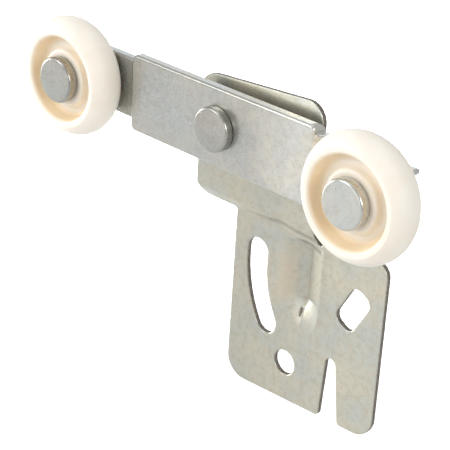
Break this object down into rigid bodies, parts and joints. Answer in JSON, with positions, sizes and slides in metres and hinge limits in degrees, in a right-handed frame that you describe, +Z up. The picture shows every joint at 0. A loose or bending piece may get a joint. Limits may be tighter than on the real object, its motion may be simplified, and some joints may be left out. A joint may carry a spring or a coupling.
{
  "type": "sliding door roller",
  "caption": "Top-hung sliding door roller: stepped steel bar with nylon wheels at its ends, rocking on a rivet in a pressed steel hanger plate with screw hole and adjusting slots.",
  "frame": {"origin": "centre of the round screw hole, on the hanger plate's flat face that lies against the door", "axes": "+X along the track and the wheel bar, +Y away from the door towards the back of the hanger plate (the wheels are on the -Y side), +Z up"},
  "size_m": [0.1039, 0.0175, 0.0691],
  "materials": {
    "zinc_plate": "satin zinc plated pressed steel",
    "zinc_bar": "satin zinc plated strip, tumbled edges",
    "zinc_rivet": "bright zinc plated rivets and washer",
    "nylon": "moulded ivory nylon, soft sheen"
  },
  "bodies": {
    "hanger": {"hanger_plate": "zinc_plate", "pivot_rivet": "zinc_rivet", "pivot_washer": "zinc_rivet"},
    "bar": {"wheel_bar": "zinc_bar", "axle_rivet_left": "zinc_rivet", "axle_rivet_right": "zinc_rivet"},
    "left_wheel": {"wheel_left": "nylon"},
    "right_wheel": {"wheel_right": "nylon"}
  },
  "joints": [
    {"name": "bar_rock", "type": "hinge", "parent": "hanger", "child": "bar", "pos_m": [-0.01715, 0, 0.0474], "axis": [0, 1, 0], "range_deg": [-15, 15]},
    {"name": "left_wheel_spin", "type": "hinge", "parent": "bar", "child": "left_wheel", "pos_m": [-0.05645, 0, 0.0474], "axis": [0, 1, 0], "continuous": true},
    {"name": "right_wheel_spin", "type": "hinge", "parent": "bar", "child": "right_wheel", "pos_m": [0.02215, 0, 0.0474], "axis": [0, 1, 0], "continuous": true}
  ]
}
